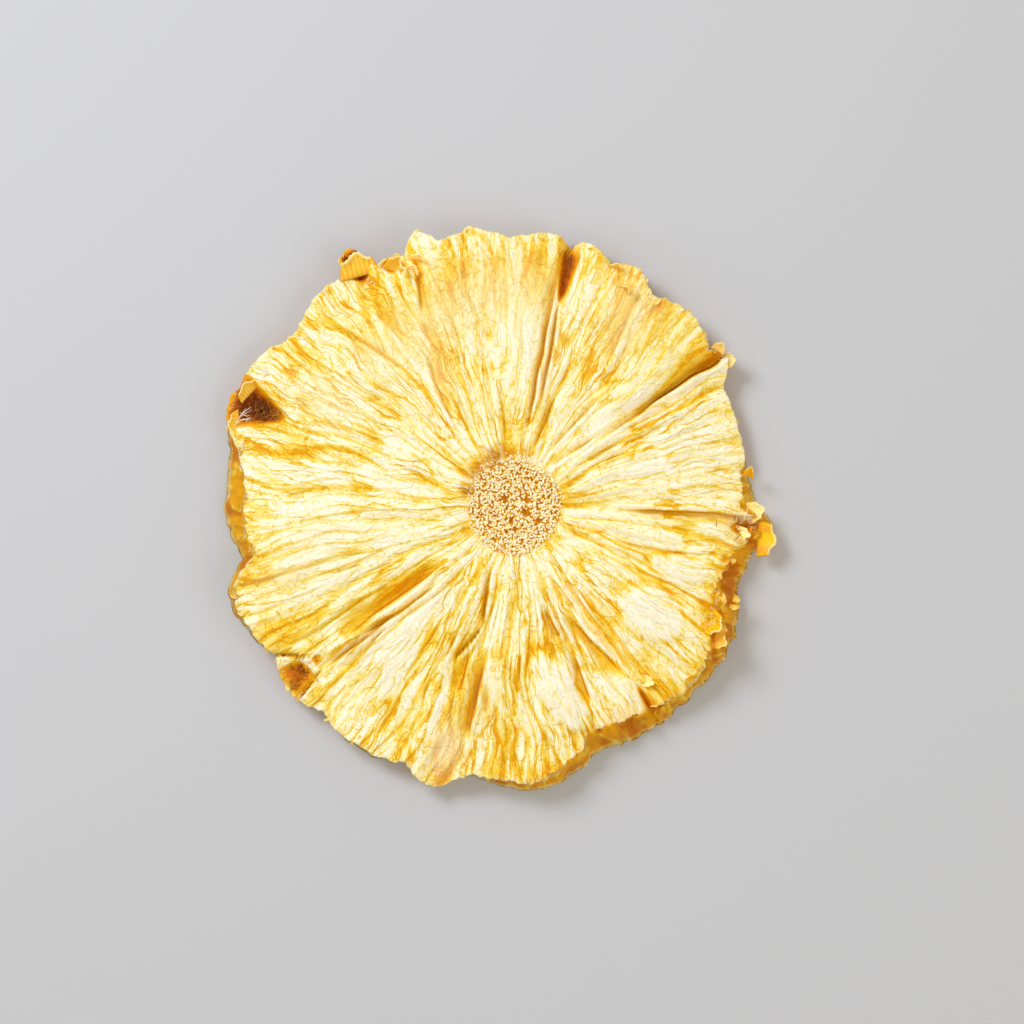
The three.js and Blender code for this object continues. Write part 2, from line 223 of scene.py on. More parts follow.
# Pits of the peeled fruitlets' eyes: degrees, half-width at the rim, radius of the tip, depth, the share
# of it that a raised outer edge closes again, and how brown the pit is.
EYES = [
    (77.4, 1.4, 32.4, 2.3, 0, 0.8),
    (123.4, 3.2, 42.0, 2.3, 1.1, 1.0),
    (117.2, 1.6, 41.2, 1.4, 1.0, 0.4),
    (159, 4.4, 38.2, 2.6, 0.85, 1.0),
    # The brown of this pit is mostly painted shadow.
    (217.8, 2.6, 38, 1.4, 0.5, 0.65),
    (254, 2.9, 36.4, 1.2, 0.2, 0.05),
    (304.5, 0.6, 34, 1.5, 0, 0.6),
    (354.5, 2.9, 33.4, 1.5, 0.6, 0.6),
    (8.5, 0.9, 36.2, 1.2, 0.9, 0.5),
    (333, 0.7, 31.4, 1.2, 1.0, 0.4),
    (329, 1.6, 37.4, 1.4, 0.9, 0.5),
]

# Slow waves of the drying rim: lobes round the slice, height, and where a crest lies (degrees).
RIM_WAVES = [(2, 0.3, 110), (3, 0.5, 75), (5, 0.75, 48), (8, 0.3, 12)]

PLEATS_ROUND = 54  # the widest strips of flesh
PLEAT_LENGTH = 18
PLEAT_HEIGHT = 0.8
PLEAT_SEED = 1
STRIPS = (2.2, 16, 21)  # narrower strips: width, length and the seed of their noise
FINE_STRIPS = (0.85, 9, 31)
LEAVES = (44, 15, 41)  # strips that overlap like pages: the number round the slice, length and seed
FINE_LEAVES = (130, 9, 51)
CRAG_HEIGHT = 2.0
FRAYS_ROUND = 120  # the coarse and the fine tears of both lips
FINE_FRAYS_ROUND = 400
FRAY_DEPTH = 0.35
STEEP_SIDE, GENTLE_SIDE = 0.3, 1.5  # how wide the two sides of a fold are
LIP_HEIGHT = 0.4  # a fold's steep side ends in a raised lip
BRISTLE_LENGTH = 0.7  # how far the cut fibres of the core stand up

COLUMNS = 1080
TOP_RINGS, WALL_RINGS, UNDER_RINGS = 55, 9, 24
ALL_RINGS = TOP_RINGS + WALL_RINGS + UNDER_RINGS
CORE_RINGS = 5  # of the rings on each face, those that lie on the core
OPEN = 999  # more cells than any noise here runs through, where it needn't close on itself


def clamp01(x):
    return np.clip(x, 0.0, 1.0)


def ease(x):
    s = clamp01(x)
    return s * s * (3 - 2 * s)


def mix(a, b, share):
    return a + (b - a) * share


def bell(x):
    return np.exp(-x * x)


def turn(from_deg, to_deg):
    """The signed turn between two angles, from -180 to 180 degrees."""
    return (to_deg - from_deg + 540) % 360 - 180


def lattice(u, v, period, seed):
    """Smooth noise from -1 to 1 that closes on itself after `period` cells of u."""
    i, j = np.floor(u), np.floor(v)

    def corner(a, b):
        s = np.sin((a % period) * 127.1 + b * 311.7 + seed * 74.7) * 43758.5453
        return (s - np.floor(s)) * 2 - 1

    su = ease(u - i)
    low = mix(corner(i, j), corner(i + 1, j), su)
    high = mix(corner(i, j + 1), corner(i + 1, j + 1), su)
    return mix(low, high, ease(v - j))


def round_noise(deg, count, v, seed):
    """The lattice with so many cells round the slice."""
    return lattice((deg % 360) / 360 * count, v + 0 * deg, count, seed)


def outline(deg):
    """Radius of the lower lip, the slice's widest line."""
    at = deg % 360
    notch, notch_r, crown, crown_r, _ = FRUITLETS.T
    k = np.searchsorted(notch, at, side="right") - 1
    after = (k + 1) % len(FRUITLETS)
    next_notch = np.where(notch[after] > notch[k], notch[after], notch[after] + 360)
    rising = at < crown[k]
    climb, fall = (at - notch[k]) / (crown[k] - notch[k]), (next_notch - at) / (next_notch - crown[k])
    share = np.where(rising, climb, fall)
    foot = np.where(rising, notch_r[k], notch_r[after])
    frayed = FRAY_DEPTH * round_noise(deg, FRAYS_ROUND, 0, 5) + 0.2 * round_noise(deg, FINE_FRAYS_ROUND, 0, 6)
    return mix(foot, crown_r[k], np.sin(share * np.pi / 2)) + frayed


def upper_lip(deg):
    """Radius of the upper lip, where the upper face ends."""
    at = deg % 360
    crown, set_back = FRUITLETS[:, 2], FRUITLETS[:, 4]
    k = np.searchsorted(crown, at, side="right")
    to, back = k % len(FRUITLETS), (k - 1) % len(FRUITLETS)
    share = ((at - crown[back]) % 360) / ((crown[to] - crown[back]) % 360)
    inside = mix(set_back[back], set_back[to], ease(share)) - 0.5
    coarse, fine = round_noise(deg, FRAYS_ROUND, 0, 9), round_noise(deg, FINE_FRAYS_ROUND, 0, 8)
    return outline(deg) - inside - ease(inside / 1.5) * (0.5 * np.abs(coarse) + 0.4 * np.abs(fine))


def wander(r, deg):
    """How far the fibres stray sideways, in degrees."""
    stray = 2.2 * round_noise(deg, 14, r / 13, 61) + 1.0 * round_noise(deg, 36, r / 6, 62)
    return stray * ease((r - CORE_RADIUS) / 8)


def folds(r, deg):
    """How deep the folds are, 1 along the foot of their steep side, and 1 along the lip above it."""
    depth, line, ridge = np.zeros_like(r), np.zeros_like(r), np.zeros_like(r)
    for index, (r0, deg0, r1, deg1, wide0, wide1, deep, is_open) in enumerate(FOLDS):
        along = (r - r0) / (r1 - r0)
        share = clamp01(along)
        stray = 0.35 * lattice(r / 3.5, 0 * r, OPEN, 100 + index) * share
        steep_turn = 1 if deg0 > 90 else -1
        off = (np.radians(turn(mix(deg0, deg1, share), deg)) * r + stray) * steep_turn
        width = mix(wide0, wide1, share) * (1 + 0.3 * lattice(r / 2.5, 0 * r, OPEN, 200 + index))
        starts = ease((along + 0.08) / (0.95 if is_open else 0.4))
        ends = 1 if is_open else ease((1.12 - along) / 0.25)
        valley = bell(off / (width * np.where(off > 0, STEEP_SIDE, GENTLE_SIDE)))
        lip = bell((off - width * STEEP_SIDE * 1.6 - 0.35) / 0.35)
        strength = starts * ends * clamp01(deep / 1.2)
        past_end = bell((r - r1 - 1.6) / 0.45) * bell(off / (width * 1.4))
        end_lip = clamp01(wide1 - 0.7) * (1 - is_open) * past_end
        lip = np.maximum(strength * lip, end_lip)
        depth += deep * starts * ends * valley - LIP_HEIGHT * lip
        line = np.maximum(line, strength * (1 + 0.6 * is_open) * bell((off - 0.08) / 0.22))
        ridge = np.maximum(ridge, lip)
    return depth, line, ridge


def fold_depth(r, deg):
    """The depth alone."""
    return folds(r, deg)[0]


def spots(r, deg, rows):
    """The sum of soft oval spots, each of its own height."""
    total = np.zeros_like(r)
    for at_r, at_deg, half_length, half_width, height in rows:
        across = np.radians(turn(at_deg, deg)) * r / half_width
        total += height * bell((r - at_r) / half_length) * bell(across)
    return total


def pillows(r, deg):
    """Height of the full pillows, and 1 along their foot."""
    height, foot = np.zeros_like(r), np.zeros_like(r)
    for at_r, at_deg, lean, half_length, half_width, high in PILLOWS:
        across = np.radians(turn(at_deg + lean * (r - at_r), deg)) * r / half_width
        inside = 1 - ((r - at_r) / half_length) ** 2 - across ** 2
        inside = inside + 0.25 * lattice(r / 1.5, deg / 5, OPEN, 300)
        height = np.maximum(height, high * clamp01(inside) ** 0.6)
        foot = np.maximum(foot, bell((inside + 0.1) / 0.16))
    return height, foot


def pillow_height(r, deg):
    """Height of the pillows and the swells."""
    return pillows(r, deg)[0] + spots(r, deg, SWELLS)


def eye_pits(r, deg):
    """How deep the eye pits are, and how brown."""
    depth, brown = np.zeros_like(r), np.zeros_like(r)
    for at_deg, half_width, tip, deep, closed, dark in EYES:
        along = (r - tip) / (outline(np.array([float(at_deg)])) - tip)
        across = np.radians(turn(at_deg, deg)) * r / (half_width * clamp01(along) + 0.3)
        floor = ease(along * 2.2) - closed * ease((along - 0.62) / 0.3)
        pit = np.where(along > 0, bell(across * np.abs(across)), 0)
        depth += deep * floor * pit
        fading = 1 - 0.8 * ease((along - 0.8) / 0.25)
        brown = np.maximum(brown, dark * pit * ease(along * 4) * fading)
    return depth, brown


def pleats(r, deg):
    """The plump strips: 0 in a crease, about 1 on a strip's back."""
    return np.abs(round_noise(deg + wander(r, deg), PLEATS_ROUND, r / PLEAT_LENGTH, PLEAT_SEED)) ** 0.8


def strips(r, deg, width, length, seed):
    """Strips of one width at every radius: the number round the slice grows outward. 0 in a crease."""
    total, weights = np.zeros_like(r), np.zeros_like(r)
    for best in (8, 14, 25, 44):
        count = round(2 * np.pi * best / width)
        weight = bell((np.log(np.maximum(r, 5)) - np.log(best)) / 0.28)
        total += weight * np.abs(round_noise(deg + wander(r, deg), count, r / length, seed + best))
        weights += weight
    return total / weights


def leaves(r, deg, count, length, seed):
    """Strips that overlap like pages, each rising slowly to its edge: height, and 1 along the edge's drop."""
    cells = ((deg + 1.6 * wander(r, deg)) % 360) / 360 * count
    cells = cells + 0.45 * lattice(cells / 2, r / length, count / 2, seed)
    across = cells - np.floor(cells)
    lift = ease(0.2 + 1.6 * lattice(np.floor(cells), r / length, count, seed + 1))
    page = across ** 1.5 * (1 - ease((across - 0.86) / 0.14))
    edge = bell((across - 0.97) / 0.09) + bell((across + 0.03) / 0.09)
    return lift * page, lift * edge


def all_leaves(r, deg):
    """The leaves and the finer ones, which begin further out: height and drop of each."""
    fine_lift, fine_drop = leaves(r, deg, *FINE_LEAVES)
    begins = ease((r - 12) / 6)
    return *leaves(r, deg, *LEAVES), begins * fine_lift, begins * fine_drop


def shrivel(deg):
    """How deep the strips are: the left side of the slice dried flatter."""
    return 0.85 + 0.3 * np.cos(np.radians(deg + 20))


def strip_relief(r, deg):
    """The flesh between core and rim: strips and leaves, calm on pillows and in folds, or crags."""
    lift, _, fine_lift, _ = all_leaves(r, deg)
    relief = PLEAT_HEIGHT * (pleats(r, deg) - 0.4) + 0.5 * (strips(r, deg, *STRIPS) - 0.35)
    relief += 0.3 * (strips(r, deg, *FINE_STRIPS) - 0.35) + 0.8 * lift
    relief += 0.5 * fine_lift
    calm = np.maximum(clamp01(pillow_height(r, deg)), 0.8 * clamp01(fold_depth(r, deg) / 1.6))
    crag, crumpled = crags(r, deg)
    return mix(shrivel(deg) * relief * (1 - 0.7 * calm), CRAG_HEIGHT * (crag - 0.4), crumpled)


def crags(r, deg):
    """Height of the crumpled skin, about 0 in its valleys and 1 on its ridges, and how crumpled it is."""
    coarse = lattice(r / 1.5 + 0.6 * round_noise(deg, 70, r / 3, 71), deg / 2.4, 150, 72)
    fine = lattice(r / 0.8, deg / 1.1 + 0.7 * coarse, OPEN, 73)
    return 1 - 0.75 * np.abs(coarse) ** 0.7 - 0.4 * np.abs(fine), clamp01(spots(r, deg, CRAGS))


def rim_wave(deg):
    return sum(height * np.cos(np.radians(lobes * (deg - crest))) for lobes, height, crest in RIM_WAVES)


def flesh_share(r, deg):
    """0 at the core, 1 at the upper lip."""
    return clamp01((r - CORE_RADIUS) / (upper_lip(deg) - CORE_RADIUS))


def smooth_top(r, deg):
    """Height of the upper face without its relief."""
    share = flesh_share(r, deg)
    body = mix(CORE_TOP, FLESH_TOP, ease((r - CORE_RADIUS + 0.8) / 2.2))
    return body + (RIM_TOP - FLESH_TOP) * share ** 3 + rim_wave(deg) * share ** 1.6


def in_flesh(r):
    return ease((r - CORE_RADIUS) / 2.5)


def core_sink(r):
    """How far the core's face sinks to make room for its bristles."""
    return BRISTLE_LENGTH * ease((CORE_RADIUS + 0.3 - r) / 0.8)


def upper_height(r, deg):
    relief = pillow_height(r, deg) + strip_relief(r, deg) - fold_depth(r, deg)
    free = smooth_top(r, deg) + in_flesh(r) * relief - eye_pits(r, deg)[0] - core_sink(r)
    return np.maximum(THINNEST, free)


def lower_height(r, deg):
    relief = 0.7 * pillow_height(r, deg) + 0.6 * strip_relief(r, deg) - 0.75 * fold_depth(r, deg)
    core = mix(CORE_THICK, FLESH_THICK, ease((r - CORE_RADIUS + 0.5) / 3))
    thick = mix(core, RIM_THICK, ease((flesh_share(r, deg) - 0.8) / 0.2))
    free = smooth_top(r, deg) + in_flesh(r) * relief - thick + core_sink(r)
    return np.maximum(0, np.minimum(free, upper_height(r, deg) - THINNEST))


def face_radius(ring, rings, lip):
    """Radius of a ring on a face: evenly over the core, then closer together towards the lip."""
    share = clamp01((ring - CORE_RINGS) / (rings - CORE_RINGS))
    beyond_core = mix(CORE_RADIUS, lip, 1 - (1 - share) ** 1.25)
    return np.where(ring < CORE_RINGS, ring / CORE_RINGS * CORE_RADIUS, beyond_core)


bpy.ops.object.select_all(action="DESELECT")
bpy.ops.mesh.primitive_grid_add(x_subdivisions=COLUMNS, y_subdivisions=ALL_RINGS, size=1)
flesh = bpy.context.object
flesh.name = "dried_flesh"
points = np.empty(len(flesh.data.vertices) * 3)
flesh.data.vertices.foreach_get("co", points)
points = points.reshape(-1, 3)
deg = np.round((points[:, 0] + 0.5) * COLUMNS) / COLUMNS * 360
ring = np.round((0.5 - points[:, 1]) * ALL_RINGS)
on_top, under = ring <= TOP_RINGS, ring >= TOP_RINGS + WALL_RINGS
in_wall = ~on_top & ~under
lip_up, lip_low = upper_lip(deg), outline(deg)
r, z = np.empty_like(deg), np.empty_like(deg)
r[on_top] = face_radius(ring, TOP_RINGS, lip_up)[on_top]
z[on_top] = upper_height(r[on_top], deg[on_top])
r[under] = face_radius(ALL_RINGS - ring, UNDER_RINGS, lip_low)[under]
z[under] = lower_height(r[under], deg[under])

at, down = deg[in_wall], (ring[in_wall] - TOP_RINGS) / WALL_RINGS
from_z, to_z = upper_height(lip_up[in_wall], at), lower_height(lip_low[in_wall], at)
hollow = RIM_HOLLOW * ease((from_z - to_z - THINNEST) / (RIM_THICK - THINNEST))
shelf = clamp01((lip_low - lip_up)[in_wall] / 3)
crinkle = 0.35 * round_noise(at, 300, down * 4, 33) + 0.45 * round_noise(at, 110, down * 3, 34)
r[in_wall] = mix(lip_up[in_wall], lip_low[in_wall], down) - (hollow - crinkle) * np.sin(down * np.pi)
jags = 1.0 * round_noise(at, 120, down * 3, 35) + 0.8 * round_noise(at, 260, down * 5, 36)
level = mix(from_z, to_z, down ** (1 + 2 * shelf))
z[in_wall] = np.maximum(level + shelf * (SHELF_BULGE + jags) * np.sin(down * np.pi), 0.3)
points = np.column_stack((CORE_X + r * np.cos(np.radians(deg)), CORE_Y + r * np.sin(np.radians(deg)), z)) * MM
flesh.data.vertices.foreach_set("co", points.ravel())


def keep_on_points(piece, name, values):
    """Stores one number a point for the piece's material to read."""
    piece.data.attributes.new(name, "FLOAT", "POINT").data.foreach_set("value", values)


def crease(height, back):
    """1 in the bottom of a crease, 0 from the height of a strip's back."""
    return 1 - ease(height / back)


on_face = np.where(in_wall, 0.0, 1.0)
_, drop, _, fine_drop = all_leaves(r, deg)
keep_on_points(flesh, "fine_crease", on_face * crease(strips(r, deg, *FINE_STRIPS), 0.2))
keep_on_points(flesh, "crease", on_face * crease(strips(r, deg, *STRIPS), 0.25))
keep_on_points(flesh, "wide_crease", on_face * crease(pleats(r, deg), 0.25))
keep_on_points(flesh, "leaf_edge", on_face * clamp01(np.maximum(drop, fine_drop)))
fold, fold_line, fold_ridge = folds(r, deg)
keep_on_points(flesh, "fold", on_face * clamp01(fold / 1.6))
keep_on_points(flesh, "fold_line", on_face * fold_line)
keep_on_points(flesh, "fold_ridge", on_face * fold_ridge)
keep_on_points(flesh, "eye", on_face * eye_pits(r, deg)[1])
keep_on_points(flesh, "pillow", on_face * clamp01(pillow_height(r, deg)))
keep_on_points(flesh, "pillow_foot", on_face * pillows(r, deg)[1])
keep_on_points(flesh, "dull", on_face * clamp01(spots(r, deg, DULL_SPOTS)))
keep_on_points(flesh, "golden", on_face * np.clip(spots(r, deg, GOLDEN_SPOTS), -1, 1))
keep_on_points(flesh, "browned", on_face * clamp01(spots(r, deg, BROWN_AND_SHADE_SPOTS)))
crag, crumpled = crags(r, deg)
# Hollows of the crags and of the peeled side, which the paint darkens as painted shade.
valley = crumpled * ease((0.75 - crag) / 0.5)
valley[in_wall] = ease((0.2 - jags) / 0.8)
keep_on_points(flesh, "crag_valley", valley)
keep_on_points(flesh, "wall", 1 - on_face)
keep_on_points(flesh, "lip", bell((ring - TOP_RINGS) / 0.8))

bpy.ops.object.mode_set(mode="EDIT")
bpy.ops.mesh.select_all(action="SELECT")
bpy.ops.mesh.remove_doubles(threshold=1e-7)
bpy.ops.mesh.normals_make_consistent(inside=False)
bpy.ops.object.mode_set(mode="OBJECT")
bpy.ops.object.shade_smooth()


class Link:
    """An output socket. Sums on it add Math nodes."""

    def __init__(self, paint, socket):
        self.paint, self.socket = paint, socket

    def __add__(self, other):
        return self.paint.node("ShaderNodeMath", {"operation": "ADD"}, {0: self, 1: other})

    def __sub__(self, other):
        return self.paint.node("ShaderNodeMath", {"operation": "SUBTRACT"}, {0: self, 1: other})

    def __rsub__(self, other):
        return self.paint.node("ShaderNodeMath", {"operation": "SUBTRACT"}, {0: other, 1: self})

    def __mul__(self, other):
        return self.paint.node("ShaderNodeMath", {"operation": "MULTIPLY"}, {0: self, 1: other})

    def __truediv__(self, other):
        return self.paint.node("ShaderNodeMath", {"operation": "DIVIDE"}, {0: self, 1: other})

    __radd__, __rmul__ = __add__, __mul__


class Paint:
    """A material and the nodes that are added to it."""

    def __init__(self, name):
        self.material = bpy.data.materials.new(name)
        self.material.use_nodes = True
        self.tree = self.material.node_tree
        self.shader = self.tree.nodes["Principled BSDF"]

    def node(self, kind, settings, values, output=0):
        """Adds a node. A colour ramp's setting is its stops, as (place, colour)."""
        made = self.tree.nodes.new(kind)
        for name, value in settings.items():
            if name == "stops":
                stops = made.color_ramp.elements
                while len(stops) < len(value):
                    stops.new(1.0)
                for stop, (position, colour) in zip(stops, value):
                    stop.position, stop.color = position, colour
            else:
                setattr(made, name, value)
        for name, value in values.items():
            self.set(made.inputs[name], value)
        return Link(self, made.outputs[output])

    def set(self, socket, value):
        if isinstance(value, Link):
            self.tree.links.new(value.socket, socket)
        else:
            socket.default_value = value

    def vector(self, operation, *values):
        return self.node("ShaderNodeVectorMath", {"operation": operation}, dict(enumerate(values)))

    def blend(self, share, start, end):
        """A colour that goes from start to end."""
        return self.node("ShaderNodeMix", {"data_type": "RGBA"}, {0: share, 6: start, 7: end}, 2)

    def ramp(self, value, low, high, start=0.0, end=1.0):
        """A smooth step of value from low to high."""
        ends = {"From Min": low, "From Max": high, "To Min": start, "To Max": end, "Value": value}
        return self.node("ShaderNodeMapRange", {"interpolation_type": "SMOOTHSTEP"}, ends)

    def noise(self, vector, scale, detail=1.0, roughness=0.5):
        values = {"Vector": vector, "Scale": scale, "Detail": detail, "Roughness": roughness}
        return self.node("ShaderNodeTexNoise", {}, values)

    def give(self, name, value):
        """Sets one property of the finish."""
        self.set(self.shader.inputs[name], value)

    def soften(self, weight, reach):
        """Lets light travel this far under the surface, red furthest."""
        self.give("Subsurface Weight", weight)
        self.give("Subsurface Radius", (1.0, 0.65, 0.2))
        self.give("Subsurface Scale", reach * MM)

    def paint_glow(self, colour, strength):
        """Painted glow: a faint warm emission standing in for light that comes through thin flesh."""
        kept = self.node("ShaderNodeMix", {"data_type": "RGBA", "blend_type": "MULTIPLY"},
                         {0: 1.0, 6: colour, 7: (1.0, 0.78, 0.3, 1.0)}, 2)
        self.give("Emission Color", kept)
        self.give("Emission Strength", strength)

    def measure(self, name):
        """The number that the piece keeps on its points under this name."""
        return self.node("ShaderNodeAttribute", {"attribute_name": name}, {}, 2)

    def colours(self, stops, value):
        """A colour that goes through the stops as value rises."""
        return self.node("ShaderNodeValToRGB", {"stops": stops}, {0: value})


def rgb(red, green, blue):
    """A colour given as 0 to 255, turned into Blender's linear light."""
    shares = [value / 255 for value in (red, green, blue)]
    return *(((c + 0.055) / 1.055) ** 2.4 if c > 0.04045 else c / 12.92 for c in shares), 1.0


IVORY = rgb(255, 254, 245)
CREAM = rgb(252, 243, 194)
STRAW = rgb(245, 224, 126)
YELLOW = rgb(243, 212, 72)
GOLD = rgb(239, 198, 26)
AMBER = rgb(232, 168, 4)
ORANGE = rgb(200, 112, 10)
BROWN = rgb(120, 56, 8)
TAN = rgb(250, 230, 156)
BONE = rgb(255, 252, 232)
DULL = rgb(238, 208, 148)

paint = Paint("dried_flesh")
place = paint.node("ShaderNodeTexCoord", {}, {}, "Object")
from_core = {"Vector": place, "Location": (-CORE_X, -CORE_Y, 0), "Scale": (1 / MM, 1 / MM, 1 / MM)}
in_mm = paint.node("ShaderNodeMapping", {}, from_core)


def sway(start, scale, detail, reach):
    """Places that stray up to half this far sideways, so that fibres run as crooked as real ones."""
    noise = paint.node("ShaderNodeTexNoise", {}, {"Vector": in_mm, "Scale": scale, "Detail": detail}, 1)
    off = paint.vector("SUBTRACT", noise, (0.5, 0.5, 0.5))
    return paint.vector("MULTIPLY_ADD", off, (reach, reach, 0), start)


bent = sway(sway(in_mm, 0.12, 2.0, 4), 0.5, 3.0, 0.5)
flat = paint.vector("MULTIPLY", bent, (1, 1, 0))
outward = paint.node("ShaderNodeVectorMath", {"operation": "LENGTH"}, {0: flat}, 1)
heading = paint.vector("NORMALIZE", flat)


def along_fibres(cells_round, length):
    """Places for noise with about so many cells round the slice, each of this length outward."""
    lift = paint.node("ShaderNodeCombineXYZ", {}, {"Z": outward / length})
    circle = {0: heading, "Scale": cells_round / (2 * np.pi)}
    return paint.vector("ADD", paint.node("ShaderNodeVectorMath", {"operation": "SCALE"}, circle), lift)


def fibres(cells_round, length, detail=2.0):
    """Noise that runs along the fibres."""
    return paint.noise(along_fibres(cells_round, length), 1.0, detail)


def wrinkles(cells_round, length):
    """Sharp ridges with round hollows between them, drawn out along the fibres."""
    kind = {"noise_type": "RIDGED_MULTIFRACTAL", "normalize": False}
    values = {"Scale": 1.0, "Detail": 4.0, "Roughness": 0.5, "Offset": 1.0, "Gain": 1.5}
    return paint.node("ShaderNodeTexNoise", kind, {"Vector": along_fibres(cells_round, length), **values})


def by_radius(close, middle, distant):
    """Three noises from the core to the rim, so that fibres keep about one width."""
    leaving = paint.ramp(outward, 11, 18)
    arriving = paint.ramp(outward, 19, 32)
    return (1 - leaving) * close + leaving * (1 - arriving) * middle + arriving * distant


def page_edges(noise, fade):
    """Edges of thin layers, where the noise passes its middle: 1 at an edge's foot, gone at once on one side
    of it and slowly on the other."""
    return paint.ramp(noise, 0.488, 0.5) * paint.ramp(noise, 0.5, 0.5 + fade, 1.0, 0.0)


dense = paint.ramp(fibres(16, 9, 4.0), 0.42, 0.6, 0.3, 1.0)
broad = page_edges(by_radius(fibres(28, 16), fibres(56, 18), fibres(100, 20)), 0.05) * dense
narrow = page_edges(by_radius(fibres(70, 12), fibres(140, 13), fibres(250, 14)), 0.06) * dense
strands = by_radius(fibres(60, 8, 3.0), fibres(120, 9, 3.0), fibres(220, 10, 3.0))
flecks = page_edges(by_radius(fibres(44, 2.5), fibres(88, 2.5), fibres(160, 2.5)), 0.05)
crumple = paint.noise(in_mm, 1.3, 5.0, 0.75)
wrinkle = by_radius(wrinkles(22, 4.5), wrinkles(40, 4.5), wrinkles(76, 4.5))
grain = paint.noise(in_mm, 5.0, 2.0, 0.8)
ripples = paint.node("ShaderNodeMath", {"operation": "SINE"}, {0: paint.noise(in_mm, 0.13) * 110})
ripples = ripples * paint.ramp(paint.noise(in_mm, 0.2), 0.48, 0.6)

fold, fold_line, pillow = paint.measure("fold"), paint.measure("fold_line"), paint.measure("pillow")
wall, valley, browned = paint.measure("wall"), paint.measure("crag_valley"), paint.measure("browned")

# How pale a place is, from amber, where the flesh is thin and sticky, to ivory: the flesh's own tone,
# with painted shade and painted highlights added to it below.
uneven = (strands - 0.5) * 0.75 + (crumple - 0.5) * 0.35
uneven = uneven + (grain - 0.5) * 0.6 + ripples * 0.05
# Painted shade: creases, page edges, wrinkle grooves and leaf drops turn golden, as shade falls in them.
crease_shade = broad * 0.45 + narrow * 0.3 + flecks * 0.2 + paint.ramp(wrinkle, 1.5, 1.8) * 0.15
crease_shade = crease_shade + paint.measure("fine_crease") * 0.12 + paint.measure("crease") * 0.25
crease_shade = crease_shade + paint.measure("wide_crease") * 0.25 + paint.measure("leaf_edge") * 0.42
# Pillow tops are paler, partly as fuller flesh and partly as a painted highlight; their feet get painted
# shade.
full = 0.98 + pillow * 0.2 + (uneven - crease_shade) * 1.55 * (1 - pillow * 0.5) * (1 - fold * 0.7)
full = full - paint.measure("pillow_foot") * 0.3
# Painted shade in the folds and along the foot of their steep side, and a painted highlight on the lip above
# it.
full = full - fold * 0.55 - fold_line * 0.3 + paint.measure("fold_ridge") * 0.3
# Painted shade: the spots beside the core and the crag hollows darken; the golden spots are the flesh's own
# tone.
full = full - paint.measure("golden") * 0.4 - browned * 0.5 - valley * 0.4
stops = [(0.0, AMBER), (0.14, GOLD), (0.34, YELLOW), (0.54, STRAW), (0.75, CREAM), (1.0, IVORY)]
colour = paint.colours(stops, full)
# Painted shade: the foot of a fold's steep side turns orange, then brown.
colour = paint.blend(paint.ramp(fold_line, 0.3, 1.0, 0.0, 0.7), colour, ORANGE)
colour = paint.blend(paint.ramp(fold_line, 0.7, 1.3, 0.0, 0.85), colour, BROWN)
# Painted shade beside the core's upper left, with the other brown spots, turns orange.
colour = paint.blend(browned * 0.5, colour, ORANGE)
colour = paint.blend(paint.measure("dull"), colour, paint.blend(crumple, DULL, BONE))
# Painted light and shade on the peeled side: wrinkle ridges turn yellow, and hollows there and in the crags
# orange.
rim_colour = paint.blend(paint.ramp(wrinkle, 1.3, 1.7), AMBER, YELLOW)
rim_colour = paint.blend(valley * 0.8, rim_colour, ORANGE)
colour = paint.blend(wall, colour, rim_colour)
colour = paint.blend(paint.measure("lip") * 0.7, colour, CREAM)
# Under the bristles the face is orange to amber: painted shade in the gaps between them.
core_colour = paint.blend(paint.ramp(crumple, 0.35, 0.65), ORANGE, AMBER)
colour = paint.blend(paint.ramp(outward, 6.9, 7.9, 1.0, 0.0), colour, core_colour)
eye = paint.measure("eye") * (0.4 + crumple * 1.2) - pillow * 0.5
eye_colour = paint.colours([(0.1, GOLD), (0.4, AMBER), (0.65, ORANGE), (1.0, BROWN)], eye)
colour = paint.blend(paint.ramp(eye, 0.05, 0.3), colour, eye_colour)
paint.give("Base Color", colour)
paint.give("Roughness", paint.ramp(full, 0, 1, 0.4, 0.62))
paint.give("Specular IOR Level", 0.25)
relief = crumple * 0.8 - wrinkle * 0.4 + ripples * 0.1 - broad * 0.4 - narrow * 0.2 - flecks * 0.4
relief = relief + strands * 0.7 + grain * 0.4 + wall * (crumple * 2.0 + wrinkle * 1.6)
bump = paint.node("ShaderNodeBump", {}, {"Height": relief, "Strength": 1.0, "Distance": 0.25 * MM})
paint.give("Normal", bump)
paint.soften(0.35, 0.6)
# Painted glow in the flesh's own colour, warmed.
paint.paint_glow(colour, 0.18)
flesh.data.materials.append(paint.material)
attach(flesh, "root")
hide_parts("pineapple_ring")

# ---- The core's bristles ----
# The core is a bundle of stiff fibres, and drying leaves their cut ends standing on both faces: blunt crumbs,
# pale at the tip and amber at the foot, partly as painted shade among them, with gaps where some broke off.
# One is made from a ball and copied.
BRISTLE_PLACES = 1500  # on each face
BRISTLE_WIDTH = 0.37
BRISTLE_REACH = 1.6  # from the tip down to the end that is sunk in the core
BRISTLE_BEND = 1.5
DISC_RADIUS = 7.75  # of the round that they fill
DISC_Y = 0.4  # its middle lies this far beyond the middle of the slice's fibres
CORE_STRETCH = 1.05  # the core is a little longer along Y than along X
GOLDEN_ANGLE = 2.39996  # radians
TABLE_GAP = 0.05 * MM  # no copy reaches lower than this
GAPS = [  # x and y from the core's centre, and radius
    (-1.6, 1.1, 0.65), (1.9, -0.95, 0.6), (2.05, 1.1, 0.45), (0.95, 2.05, 0.4), (3.8, -0.15, 0.4),
    (-0.5, -2.2, 0.5), (0.3, -3.55, 0.5), (4.05, -2.2, 0.4), (-3, -1.35, 0.35),
]
rng = np.random.default_rng(7)
